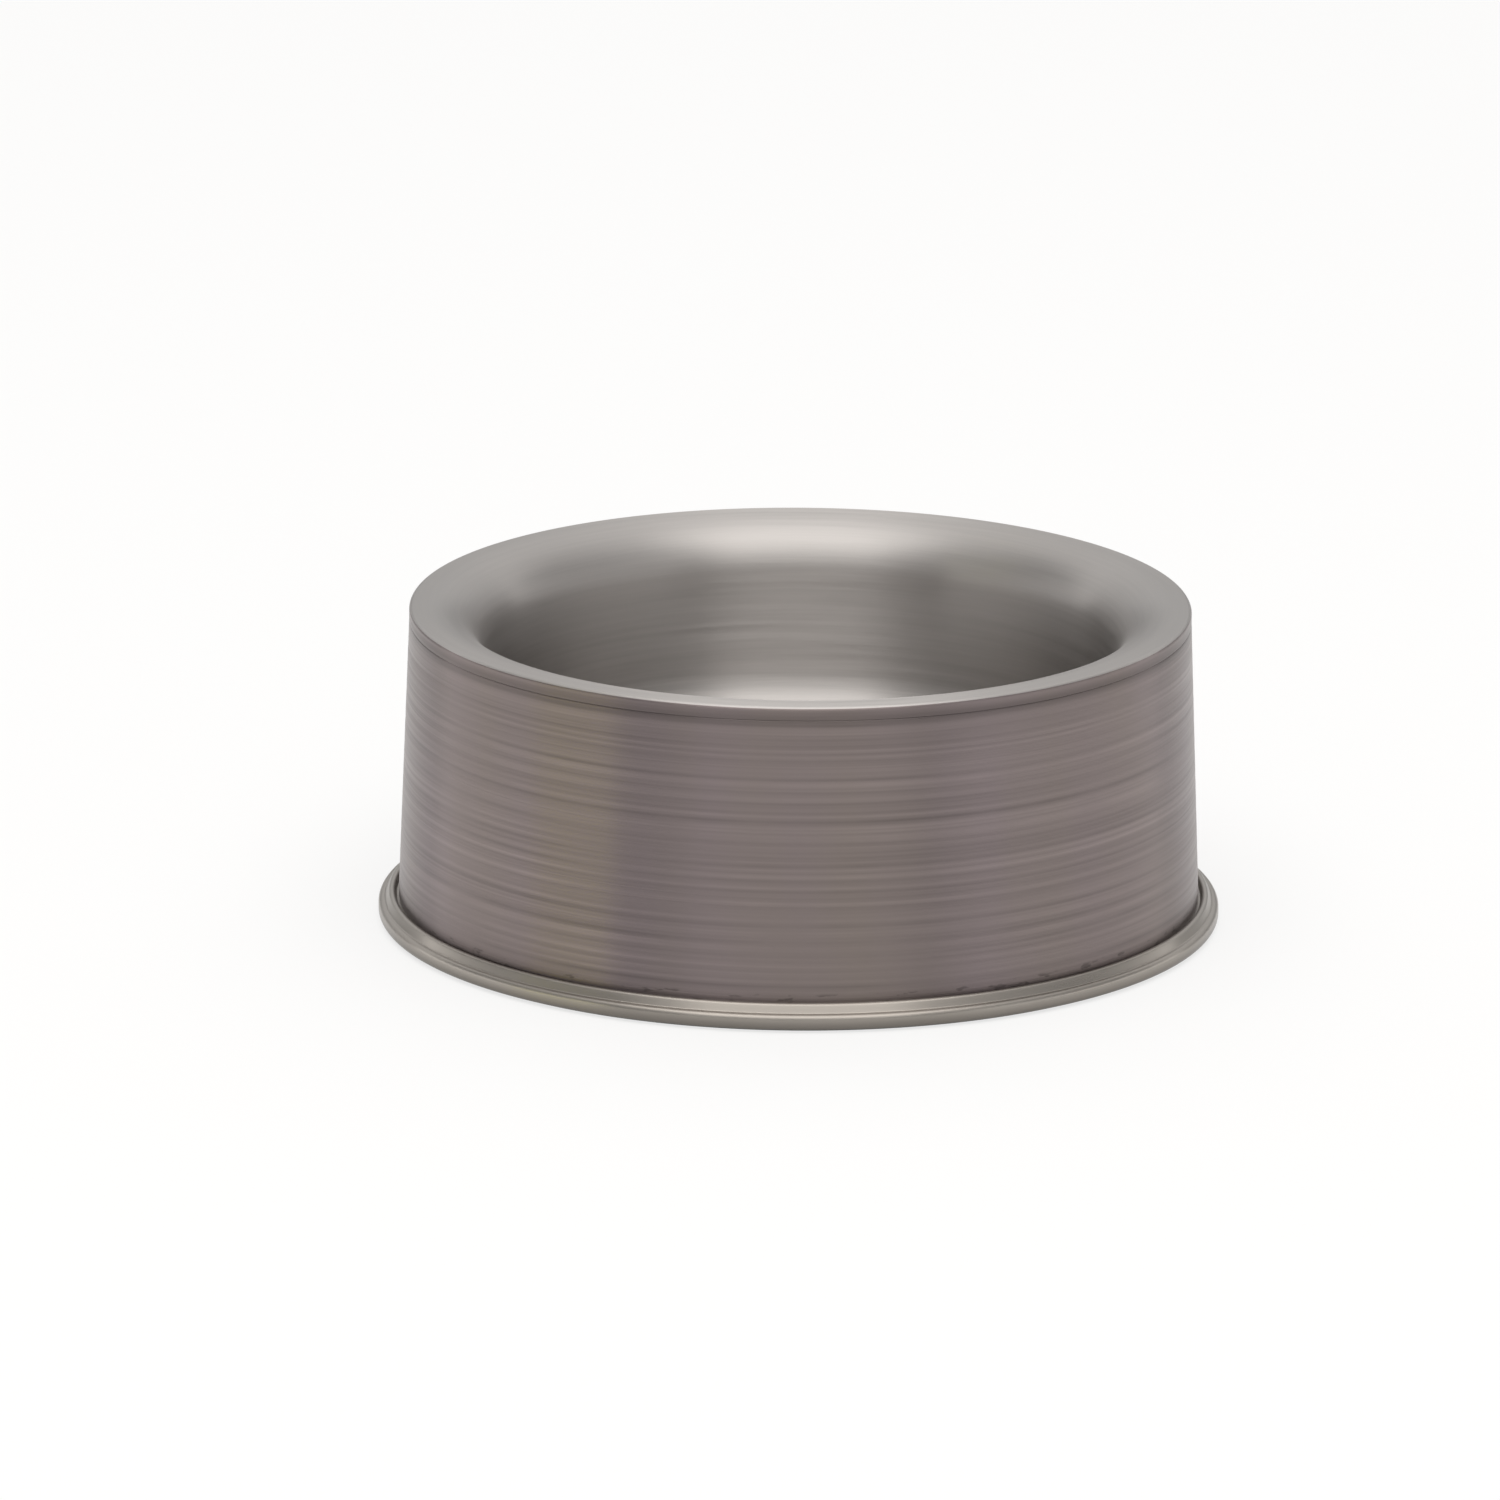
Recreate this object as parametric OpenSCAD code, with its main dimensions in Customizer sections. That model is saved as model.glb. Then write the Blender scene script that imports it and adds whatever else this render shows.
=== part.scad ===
// Double-walled feeding bowl: a drawn basin with a broad rolled rim, a tapered sleeve,
// a pressed base pan with a beaded foot flange, and a rubber ring locked under it.
// Millimetres, +Z up. The origin is on the floor, on the bowl's axis.
// Each steel piece is one sheet of even thickness. Its section follows a few corners,
// each with the radius of its bend, and is then turned round the axis.

/* [Overall] */
// Diameter of the foot flange, the widest part of the bowl
foot_d = 200; // [165:1:235]
// Height of the rim above the floor
total_h = 76; // [62:1:95]
// Diameter of the rim
rim_d = 185.2; // [150:0.2:200]
// Thickness of the steel sheet
sheet_t = 0.7; // [0.5:0.05:0.8]

/* [Rim] */
// Outer radius of the rim's corner
rim_corner_r = 1; // [0.9:0.1:1.2]
// Height of the lip outside, measured from the top of the rim
lip_h = 3.2; // [3:0.1:4.5]
// Radius of the roll from the rim into the basin
roll_r = 13; // [10:0.5:13.5]

/* [Basin] */
// Width of the rim, from its outer edge to the basin's wall
rim_w = 16.6; // [16.2:0.2:22]
// How far the basin's wall draws in on its way down to the floor
basin_draw_in = 3.5; // [1:0.1:6]
// Depth of the basin below the rim
basin_depth = 48; // [40:1:54]
// Fillet between the basin's wall and its floor
basin_fillet_r = 13; // [8:0.5:18]

/* [Outer shell] */
// How far the foot flange stands out beyond the shell
flange_w = 4.9; // [4.7:0.1:6]
// Inner radius of the bend at the shell's top
shell_bend_r = 0.4; // [0.3:0.05:0.5]
// Height of the shoulder that brings the shell out flush below the lip
shoulder_h = 0.8; // [0.7:0.1:1]
// Bend at the top of the shoulder
shoulder_in_r = 0.4; // [0.3:0.05:0.5]
// Bend at the foot of the shoulder
shoulder_out_r = 1; // [0.9:0.1:1.2]
// Width of the shell's inward flange left free of the roll above it
shell_top_back = 1; // [0.5:0.1:2]
// Height of the upright edge at the foot of the shell
shell_edge_h = 3.4; // [2.6:0.1:5]
// Bend from the tapered shell to that edge
shell_edge_r = 20; // [10:1:30]

/* [Groove and flange] */
// Height of the groove's floor, on which the shell stands
seat_h = 4.8; // [4.5:0.1:5.4]
// Width of the open crevice between the shell and the crest
crevice_w = 0.8; // [0.6:0.1:1]
// Height of the crest above the groove's floor
crest_rise = 1.6; // [1.4:0.1:2]
// Radius of the crest
crest_r = 0.9; // [0.85:0.05:1]
// Radius of the rolled bead at the flange's edge
bead_r = 1.2; // [1:0.05:1.3]
// Upright face between the two bends of the bead
bead_face = 1.3; // [1.1:0.1:1.7]
// Height of the bead's underside above the floor
bead_under_h = 0.6; // [0.4:0.1:0.8]
// Length of the edge tucked in under the bead
bead_tuck = 1; // [0.6:0.1:1.2]
// Level strip between the flange's slope and the bead
valley_w = 0.1; // [0.05:0.05:0.3]

/* [Base pan] */
// Height of the roof over the rubber ring, above the groove's floor
roof_rise = 1.8; // [1.7:0.1:2.4]
// Width of the roof over the rubber ring
channel_w = 9.3; // [7:0.1:12]
// Height of the pan's flat panel
panel_h = 3; // [2.4:0.1:3.6]
// Diameter of the raised dish that stiffens the pan
dish_d = 116; // [90:1:130]
// Height of that dish above the panel
dish_rise = 3.2; // [2.4:0.1:5]
// Width of the slope round the dish
dish_slope_w = 5; // [4:0.5:8]
// Radius of the bends round the dish
dish_bend_r = 3; // [2:0.5:4]
// Inner radius of the pan's tight bends
tight_r = 0.4; // [0.3:0.05:0.5]

/* [Foot ring] */
// How far the ring's lip reaches out over the edge tucked in under the bead
ring_lip_w = 0.9; // [0.6:0.1:1.1]
// Thickness of that lip
ring_lip_t = 1.6; // [1.2:0.1:1.8]
// Number of tread grooves in the ring's underside
tread_count = 3; // [1:1:4]
// Width of a tread groove
tread_w = 1; // [0.8:0.1:1.6]
// Depth of a tread groove
tread_depth = 0.6; // [0.4:0.1:1]

/* [Fits] */
// Gap left where one sheet nests in another or the ring sits in its channel
nest_gap = 0.1; // [0.05:0.05:0.15]

/* [Hidden] */
$fn = 120;

// Which side of its path the sheet lies on, seen along the way it is drawn
left_side = 1;
right_side = -1;
// Most degrees of a bend between two points of its outline
bend_step = 9;

// Basin: how far its wall leans from upright, and what the roll takes from the rim
rim_r = rim_d / 2;
lip_z = total_h - lip_h;
mouth_r = rim_r - rim_w;
basin_floor_r = mouth_r - basin_draw_in;
basin_floor_z = total_h - basin_depth;
basin_lean = atan2(basin_draw_in, basin_depth);
roll_back = roll_r * tan((90 - basin_lean) / 2);

// Shell: its top nests under the rim, its shoulder meets the lip's slanted edge, and its
// foot stands in the pan's groove
nest_r = rim_r - sheet_t - nest_gap;
nest_z = total_h - sheet_t;
nest_corner_r = shell_bend_r + sheet_t;
lip_slant_h = shoulder_h * sheet_t / (sheet_t + nest_gap);
lip_rest_h = nest_gap * norm([sheet_t + nest_gap, shoulder_h]) / (sheet_t + nest_gap);
shoulder_z = lip_z + shoulder_h - lip_rest_h;
shell_top_r = mouth_r + roll_back + shell_top_back;
foot_r = foot_d / 2;
shell_foot_r = foot_r - flange_w;

// Pan: the outer radius of a tight bend, and the two sides of the groove
tight_out_r = tight_r + sheet_t;
side_gap = tight_r + nest_gap;
groove_in_r = shell_foot_r - sheet_t - side_gap;
groove_out_r = shell_foot_r + crevice_w;
roof_h = seat_h + roof_rise;
channel_r = groove_in_r - sheet_t - channel_w;
channel_foot_r = channel_r - sheet_t;
dish_r = dish_d / 2;
dish_h = panel_h + dish_rise;

// Flange: its slope is the line that touches the crest from above and the valley from below
bead_top_h = bead_under_h + bead_r + bead_face + bead_r;
crest_at = [groove_out_r + crest_r, seat_h + crest_rise - crest_r];
valley_at = [foot_r - bead_r - valley_w, bead_top_h + tight_r];
flange_slope = asin((crest_r + tight_r) / norm(valley_at - crest_at))
    - heading_of(crest_at, valley_at);
crest_corner_h = crest_at[1] + crest_r * tan((90 + flange_slope) / 2);
valley_corner_r = valley_at[0] - tight_r * tan(flange_slope / 2);
tuck_end_r = foot_r - bead_r - bead_tuck;

// Ring: it fills the channel up to the roof, passes under the groove, slopes down with the
// flange, and grips the edge tucked in under the bead
ring_in_r = channel_r + side_gap;
ring_step_r = groove_in_r - sheet_t - side_gap;
ring_roof_h = roof_h - sheet_t;
ring_groove_h = seat_h - sheet_t;
ring_edge_r = tuck_end_r - nest_gap;
ring_lip_z = bead_under_h + sheet_t + nest_gap;

// Step of unit length in a direction given in degrees
function along(a) = [cos(a), sin(a)];
// Direction of the line from one point to another, in degrees
function heading_of(p, q) = atan2(q[1] - p[1], q[0] - p[0]);
// Turn from one direction to another, positive to the left
function turn_of(a, b) = (b - a > 180) ? b - a - 360 : (b - a < -180) ? b - a + 360 : b - a;
// What a bend takes from each of the two lines that it joins
function setback(r, turn) = r * tan(abs(turn) / 2);

// Arc that rounds a corner with radius r, seen on the face that lies a distance off the path
function rounded_corner(corner, dir, turn, r, off) =
    let (
        way = sign(turn),
        steps = ceil(abs(turn) / bend_step),
        centre = corner - setback(r, turn) * along(dir) + way * r * along(dir + 90)
    )
    [for (k = [0:steps])
        centre + (r - way * off) * along(dir - way * 90 + turn * k / max(1, steps))];

// One face of the sheet, end to end, a distance off its path to the left. Its start can be
// set back along the path, where the cut edge is slanted
function sheet_face(corners, radii, off, set_back = 0) =
    let (
        last = len(corners) - 1,
        dirs = [for (i = [1:last]) heading_of(corners[i - 1], corners[i])]
    )
    concat(
        [corners[0] + off * along(dirs[0] + 90) + set_back * along(dirs[0])],
        [for (i = [1:last - 1])
            each rounded_corner(corners[i], dirs[i - 1], turn_of(dirs[i - 1], dirs[i]), radii[i], off)],
        [corners[last] + off * along(dirs[last - 1] + 90)]
    );

// Section of a sheet: its path's corners, the radius of the path's bend at each, and how
// far the cut edge slants back at the start
module sheet_section(corners, radii, side, slant = 0) {
    near_face = sheet_face(corners, radii, 0);
    far_face = sheet_face(corners, radii, side * sheet_t, slant);
    polygon(concat(near_face, [for (i = [len(far_face) - 1:-1:0]) far_face[i]]));
}

// Drawn from the lip's edge up, over the rim, down the roll and in to the floor's middle
module inner_bowl() {
    color("#9d9995")
        rotate_extrude()
            sheet_section(
                [
                    [rim_r, lip_z],
                    [rim_r, total_h],
                    [mouth_r, total_h],
                    [basin_floor_r, basin_floor_z],
                    [0, basin_floor_z]
                ],
                [0, rim_corner_r, roll_r, basin_fillet_r, 0],
                left_side,
                lip_slant_h
            );
}

// Drawn from under the rim out, down behind the lip, over the shoulder and down the wall
module outer_shell() {
    color("#7d746f")
        rotate_extrude()
            sheet_section(
                [
                    [shell_top_r, nest_z],
                    [nest_r, nest_z],
                    [nest_r, shoulder_z],
                    [rim_r, shoulder_z - shoulder_h],
                    [shell_foot_r, seat_h + shell_edge_h],
                    [shell_foot_r, seat_h]
                ],
                [0, nest_corner_r, shoulder_in_r, shoulder_out_r, shell_edge_r, 0],
                right_side
            );
}

// Drawn from the middle out: dish, panel, channel, groove, crest, flange and bead
module base_pan() {
    color("#8a8784")
        rotate_extrude()
            sheet_section(
                [
                    [0, dish_h],
                    [dish_r - dish_slope_w, dish_h],
                    [dish_r, panel_h],
                    [channel_foot_r, panel_h],
                    [channel_foot_r, roof_h],
                    [groove_in_r, roof_h],
                    [groove_in_r, seat_h],
                    [groove_out_r, seat_h],
                    [groove_out_r, crest_corner_h],
                    [valley_corner_r, bead_top_h],
                    [foot_r, bead_top_h],
                    [foot_r, bead_under_h],
                    [tuck_end_r, bead_under_h]
                ],
                [
                    0, dish_bend_r, dish_bend_r, tight_r, tight_out_r, tight_out_r,
                    tight_r, tight_r, crest_r, tight_r, bead_r, bead_r, 0
                ],
                right_side
            );
}

// Rubber ring: a thick rib in the channel, a plate under the groove, and a gripping lip
module foot_ring() {
    ring_w = ring_edge_r - ring_in_r;
    pitch = ring_w / (tread_count + 1);
    color("#2e2d2e")
        rotate_extrude()
            difference() {
                polygon([
                    [ring_in_r, 0],
                    [ring_edge_r, 0],
                    [ring_edge_r, ring_lip_z],
                    [ring_edge_r + ring_lip_w, ring_lip_z],
                    [ring_edge_r + ring_lip_w, ring_lip_z + ring_lip_t],
                    [ring_edge_r, ring_lip_z + ring_lip_t],
                    [crest_at[0], ring_groove_h],
                    [ring_step_r, ring_groove_h],
                    [ring_step_r, ring_roof_h],
                    [ring_in_r, ring_roof_h]
                ]);
                for (i = [1:tread_count])
                    translate([ring_in_r + i * pitch - tread_w / 2, -tread_depth])
                        square([tread_w, 2 * tread_depth]);
            }
}

inner_bowl();
outer_shell();
base_pan();
foot_ring();
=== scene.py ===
"""Dresses the double-walled steel pet bowl: four turned pieces, their finishes, light and camera.

Each steel piece is one sheet. Its section follows a few corners, each with the radius of its
bend, and is turned round the bowl's axis. Lengths are in metres, and the bowl's settings are
written in millimetres.
"""

import math

import bmesh
import bpy
from bpy.props import FloatProperty, FloatVectorProperty, IntProperty, PointerProperty
from mathutils import Matrix, Vector, noise


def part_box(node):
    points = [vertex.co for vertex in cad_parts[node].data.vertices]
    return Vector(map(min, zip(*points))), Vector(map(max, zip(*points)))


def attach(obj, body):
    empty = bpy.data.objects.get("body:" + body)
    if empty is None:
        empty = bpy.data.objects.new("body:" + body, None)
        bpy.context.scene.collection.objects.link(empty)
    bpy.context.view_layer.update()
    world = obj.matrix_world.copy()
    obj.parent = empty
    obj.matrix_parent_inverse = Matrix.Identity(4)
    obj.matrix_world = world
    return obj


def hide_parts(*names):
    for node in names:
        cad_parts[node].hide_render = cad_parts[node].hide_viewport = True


bl_info = {
    "name": "Steel pet bowl",
    "version": (1, 0, 0),
    "blender": (4, 5, 0),
    "location": "3D View > Sidebar > Pet Bowl",
    "description": "Turned steel bowl on a pressed base, with its finishes and a plain studio",
    "category": "Object",
}

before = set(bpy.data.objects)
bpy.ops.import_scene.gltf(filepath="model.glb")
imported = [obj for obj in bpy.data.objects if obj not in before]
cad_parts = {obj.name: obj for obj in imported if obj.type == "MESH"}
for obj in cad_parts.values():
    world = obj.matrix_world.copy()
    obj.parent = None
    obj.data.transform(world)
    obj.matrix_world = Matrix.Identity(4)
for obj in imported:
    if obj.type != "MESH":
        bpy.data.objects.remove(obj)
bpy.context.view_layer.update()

MM = 0.001
LEFT_SIDE = 1
RIGHT_SIDE = -1
ON_AXIS = 1e-9
EASE_STEPS = 4

bowl_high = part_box("inner_bowl")[1]
pan_low, pan_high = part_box("base_pan")
shell_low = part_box("outer_shell")[0]
ring_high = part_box("foot_ring")[1]


def linear(code):
    """sRGB hex code, such as #a0a0a0, as the linear colour that Blender's sockets take."""
    parts = [int(code[i:i + 2], 16) / 255 for i in (1, 3, 5)]
    return tuple(
        p / 12.92 if p <= 0.04045 else ((p + 0.055) / 1.055) ** 2.4 for p in parts
    )


def size_prop(name, description, mm):
    """A length, given here in millimetres and kept in metres."""
    return FloatProperty(
        name=name, description=description, default=mm * MM, min=0.0, precision=4,
        subtype="DISTANCE", unit="LENGTH",
    )


def angle_prop(name, description, degrees):
    return FloatProperty(
        name=name, description=description, default=math.radians(degrees),
        subtype="ANGLE", unit="ROTATION",
    )


def share_prop(name, description, default):
    """A share from none to all."""
    return FloatProperty(
        name=name, description=description, default=default, min=0.0, max=1.0, subtype="FACTOR"
    )


def level_prop(name, description, default):
    return FloatProperty(
        name=name, description=description + ", where 1 is white", default=default, min=0.0
    )


def colour_prop(name, description, code):
    return FloatVectorProperty(
        name=name, description=description, subtype="COLOR", size=3,
        min=0.0, max=1.0, default=linear(code),
    )


# Settings


class BowlSheetSettings(bpy.types.PropertyGroup):
    """What all the turned pieces share."""

    sheet_t: size_prop("Sheet", "Thickness of the steel sheet", 0.7)
    edge_r: size_prop("Cut edge", "Rounding of the sheet's cut edges", 0.12)
    nest_gap: size_prop("Nest gap", "Gap left where one sheet nests in another", 0.1)
    row_max: size_prop("Row", "Longest row of mesh along a straight run", 2.0)
    segments: IntProperty(
        name="Segments", description="Mesh segments round the axis",
        default=288, min=48, max=720,
    )
    bend_step: angle_prop("Bend step", "Turn between two rows in a bend", 6)


class InnerBowlSettings(bpy.types.PropertyGroup):
    """The drawn basin with its broad rim."""

    lip_h: size_prop("Lip", "Height of the lip outside", 3.2)
    rim_corner_r: size_prop("Rim corner", "Outer radius of the rim's corner", 1.0)
    rim_w: size_prop("Rim width", "Width of the rim", 16.6)
    roll_r: size_prop("Roll", "Radius of the roll into the basin", 13.0)
    draw_in: size_prop("Draw in", "How far the wall draws in", 3.5)
    depth: size_prop("Depth", "Depth of the basin", 48.0)
    fillet_r: size_prop("Fillet", "Fillet between wall and floor", 13.0)
    steel: colour_prop("Steel", "Satin spun steel of the basin and rim", "#b5b1ae")
    roughness: share_prop("Roughness", "Roughness of the satin", 0.39)


class OuterShellSettings(bpy.types.PropertyGroup):
    """The tapered sleeve with its circumferential grinding marks."""

    flange_w: size_prop("Flange", "How far the foot flange stands out", 4.9)
    bend_r: size_prop("Top bend", "Inner radius of the bend at its top", 0.4)
    shoulder_h: size_prop("Shoulder", "Height of the shoulder below the lip", 0.8)
    shoulder_in_r: size_prop("Shoulder bend", "Bend at the top of the shoulder", 0.4)
    shoulder_out_r: size_prop("Shoulder foot", "Bend at the foot of the shoulder", 1.0)
    top_back: size_prop("Top", "Inward flange left free of the roll", 1.0)
    edge_h: size_prop("Foot edge", "Height of the upright edge at the foot", 3.4)
    edge_r: size_prop("Foot bend", "Bend from the taper to that edge", 20.0)
    mark_depth: size_prop("Mark depth", "Depth of the coarse grinding marks", 0.03)
    mark_pitch: size_prop("Mark pitch", "Spacing of the coarse grinding marks", 3.5)
    mark_fade: size_prop("Mark fade", "Length over which the marks fade at each end", 3.0)
    mark_row: size_prop("Mark row", "Rows of mesh on the wall, close enough for the marks", 0.4)
    steel: colour_prop("Steel", "Ground steel of the sleeve", "#867b7f")
    tint: colour_prop("Tint", "Steel where the grinding left it browner", "#857c74")
    # Dark tone. Dirt in spots along the crevice, and painted shade in a band round the seam under
    # the lip.
    dirt_and_shade: colour_prop("Grime", "What settles in the seam and at the crevice", "#2c2926")
    line_share: share_prop("Lines", "How much darker or paler the ground lines are", 0.28)
    # Width of the painted shade round the seam under the lip.
    seam_shade_w: size_prop("Grime width", "How far it reaches from the seam", 2.2)
    crevice_z: size_prop("Crevice", "Height where the foot's crevice begins", 7.4)
    roughness: share_prop("Roughness", "Roughness of the ground steel", 0.36)


class BasePanSettings(bpy.types.PropertyGroup):
    """The pressed base with its groove, crest, sloping flange and rolled bead."""

    crevice_w: size_prop("Crevice", "Open crevice beside the shell", 0.8)
    crest_rise: size_prop("Crest", "Height of the crest above the groove", 1.6)
    crest_r: size_prop("Crest radius", "Radius of the crest", 0.9)
    bead_r: size_prop("Bead", "Radius of the rolled bead", 1.2)
    bead_face: size_prop("Bead face", "Upright face of the bead", 1.3)
    bead_tuck: size_prop("Bead tuck", "Edge tucked in under the bead", 1.0)
    valley_w: size_prop("Valley", "Level strip inside the bead", 0.1)
    roof_rise: size_prop("Roof", "Roof over the ring above the groove", 1.8)
    channel_w: size_prop("Channel", "Width of the roof over the ring", 9.3)
    panel_h: size_prop("Panel", "Height of the flat panel", 3.0)
    dish_d: size_prop("Dish", "Diameter of the raised dish", 116.0)
    dish_rise: size_prop("Dish rise", "Height of the dish", 3.2)
    dish_slope_w: size_prop("Dish slope", "Width of the slope round the dish", 5.0)
    dish_bend_r: size_prop("Dish bend", "Bends round the dish", 3.0)
    tight_r: size_prop("Tight bend", "Inner radius of the tight bends", 0.4)
    steel: colour_prop("Steel", "Bright pressed steel of the flange", "#a29c95")
    # Dark tone laid low on the bead as painted shade, where the bead mirrors the shadowed floor.
    dirt_and_shade: colour_prop("Grime", "What mopping leaves low on the bead", "#2c2926")
    # How far up the bead the painted shade reaches.
    bead_shade_z: size_prop("Grime height", "How far up the bead it reaches", 3.8)
    roughness: share_prop("Roughness", "Roughness of the buffed steel", 0.3)


class FootRingSettings(bpy.types.PropertyGroup):
    """The moulded rubber ring under the base."""

    lip_t: size_prop("Lip", "Thickness of the lip over the tucked edge", 1.6)
    tread_count: IntProperty(
        name="Treads", description="Grooves in the underside", default=3, min=1, max=6
    )
    tread_w: size_prop("Tread", "Width of a tread groove", 1.0)
    tread_depth: size_prop("Tread depth", "Depth of a tread groove", 0.6)
    corner_r: size_prop("Corner", "Moulded corner radius", 0.35)
    rubber: colour_prop("Rubber", "Moulded rubber", "#2b2a2b")
    dust: colour_prop("Dust", "Rubber where dust clings to it", "#414041")
    roughness: share_prop("Roughness", "Roughness of the rubber", 0.62)


class StudioSettings(bpy.types.PropertyGroup):
    """Plain pale floor, soft light, and the camera."""

    camera_distance: FloatProperty(
        name="Camera distance", description="From the camera to its aim", default=3.0, min=0.1,
        subtype="DISTANCE", unit="LENGTH",
    )
    camera_rise: angle_prop("Camera rise", "How steeply the camera looks down", 15.523)
    camera_roll: angle_prop("Camera roll", "Turn of the camera about its view line", 0.333)
    camera_lens: FloatProperty(
        name="Lens", description="Focal length of the camera", default=303.2, min=1.0,
        subtype="DISTANCE_CAMERA", unit="CAMERA",
    )
    aim: FloatVectorProperty(
        name="Aim", description="Point in the middle of the picture",
        default=(-0.01175, 0.0, 0.04011), subtype="XYZ", unit="LENGTH",
    )
    floor_colour: colour_prop("Floor", "Matt pale floor", "#f4f3f1")
    wall_colour: colour_prop("Walls", "White walls and ceiling", "#fffefd")
    warm_colour: colour_prop("Warm light", "Lamp light at the foot of the left wall", "#fffa10")
    front_level: level_prop("Wall behind the camera", "Level of the dim side of the room", 0.12)
    wall_level: level_prop("Wall behind the bowl", "Level of what the rim mirrors", 0.7)
    ceiling_level: level_prop("Ceiling", "Level of the ceiling", 1.18)
    left_foot_level: level_prop("Foot of the left wall", "Level low down on the left", 2.0)
    right_foot_level: level_prop("Foot of the right wall", "Level low down on the right", 1.6)
    left_level: level_prop("Left wall", "Level of the left wall above its foot", 0.0)
    right_level: level_prop("Right wall", "Level of the right wall above its foot", 0.18)
    window_level: level_prop("Window behind the camera", "Level of the high, narrow window", 0.78)
    softbox_place: FloatVectorProperty(
        name="Softbox place", description="Middle of the softbox, which faces down",
        default=(0.0, -1.1, 2.2), subtype="XYZ", unit="LENGTH",
    )
    softbox_size: FloatVectorProperty(
        name="Softbox size", description="Its width and length", size=2, default=(2.4, 2.6),
        min=0.1, subtype="XYZ", unit="LENGTH",
    )
    softbox_power: FloatProperty(
        name="Softbox power", description="Power of the lamp overhead", default=23.4, min=0.0,
        subtype="POWER", unit="POWER",
    )
    softbox_colour: colour_prop("Softbox colour", "Slightly warm daylight", "#fffdfa")
    floor_white: share_prop("White floor", "How far the floor goes to white in the picture", 0.73)
    mirrored_floor: share_prop(
        "White floor in the steel",
        "How far the floor goes to white where the steel mirrors it", 0.5,
    )
    mirrored_walls: share_prop(
        "White walls in the steel",
        "How far the walls go to white where the steel mirrors them", 0.15,
    )


SETTINGS = {
    "bowl_sheet": BowlSheetSettings,
    "bowl_inner": InnerBowlSettings,
    "bowl_shell": OuterShellSettings,
    "bowl_pan": BasePanSettings,
    "bowl_ring": FootRingSettings,
    "bowl_studio": StudioSettings,
}


# Sections of sheet


def along(angle):
    """A step of length one in a direction."""
    return Vector((math.cos(angle), math.sin(angle)))


def heading(p, q):
    """Direction from one point to another."""
    return math.atan2(q[1] - p[1], q[0] - p[0])


def turn_between(a, b):
    """Turn from one direction to another, positive to the left."""
    return (b - a + math.pi) % (2 * math.pi) - math.pi


def straight_rows(start, end, normal, row_max):
    """Rows between two bends, both ends left out."""
    count = max(1, math.ceil((end - start).length / row_max))
    return [(start.lerp(end, k / count), normal) for k in range(1, count)]


def sheet_rows(corners, radii, rows, bend_step):
    """Rows along a sheet's path: each is a point and the direction to its left."""
    corners = [Vector(c) for c in corners]
    last = len(corners) - 1
    dirs = [heading(corners[i - 1], corners[i]) for i in range(1, last + 1)]
    found = [(corners[0], along(dirs[0] + math.pi / 2))]
    for i in range(1, last + 1):
        normal = along(dirs[i - 1] + math.pi / 2)
        if i == last:
            arc = [(corners[last], normal)]
        else:
            turn = turn_between(dirs[i - 1], dirs[i])
            way = math.copysign(1, turn)
            back = radii[i] * math.tan(abs(turn) / 2)
            side = along(dirs[i - 1] + math.pi / 2)
            centre = corners[i] - back * along(dirs[i - 1]) + way * radii[i] * side
            steps = max(2, math.ceil(abs(turn) / bend_step))
            arc = []
            for k in range(steps + 1):
                out = dirs[i - 1] - way * math.pi / 2 + turn * k / steps
                arc.append((centre + radii[i] * along(out), -way * along(out)))
        found += straight_rows(found[-1][0], arc[0][0], normal, rows[i - 1])
        found += arc
    return found


def eased_corner(start, corner, end):
    """Short curve from start to end that rounds off the corner between them."""
    shares = [k / EASE_STEPS for k in range(EASE_STEPS + 1)]
    return [
        start * (1 - s) ** 2 + corner * 2 * s * (1 - s) + end * s ** 2 for s in shares
    ]


def cut_edge(face_end, other_end, ahead, edge_r):
    """Points of a cut edge between the two faces of a sheet, each corner slightly rounded."""
    across = (other_end - face_end).normalized() * edge_r
    back = ahead * edge_r
    first = eased_corner(face_end - back, face_end, face_end + across)
    second = eased_corner(other_end - across, other_end, other_end - back)
    return first + second


def sheet_outline(corners, radii, side, sheet_t, rows, bend_step, edge_r, slant=0.0):
    """Closed outline of a sheet's section. An end on the axis is left open.

    slant is how far the cut edge at the start slants back along the sheet.
    """
    found = sheet_rows(corners, radii, rows, bend_step)
    near = [p for p, _ in found]
    far = [p + side * sheet_t * n for p, n in found]
    start_dir = (near[1] - near[0]).normalized()
    end_dir = (near[-1] - near[-2]).normalized()
    far[0] = far[0] + start_dir * slant
    start_open = near[0].x < ON_AXIS
    end_open = near[-1].x < ON_AXIS
    start_edge = cut_edge(far[0], near[0], -start_dir, edge_r)
    end_edge = cut_edge(near[-1], far[-1], end_dir, edge_r)
    outline = []
    outline += [near[0]] if start_open else []
    outline += near[1:-1]
    outline += [near[-1], far[-1]] if end_open else end_edge
    outline += far[-2:0:-1]
    outline += [far[0]] if start_open else start_edge
    return outline


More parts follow.
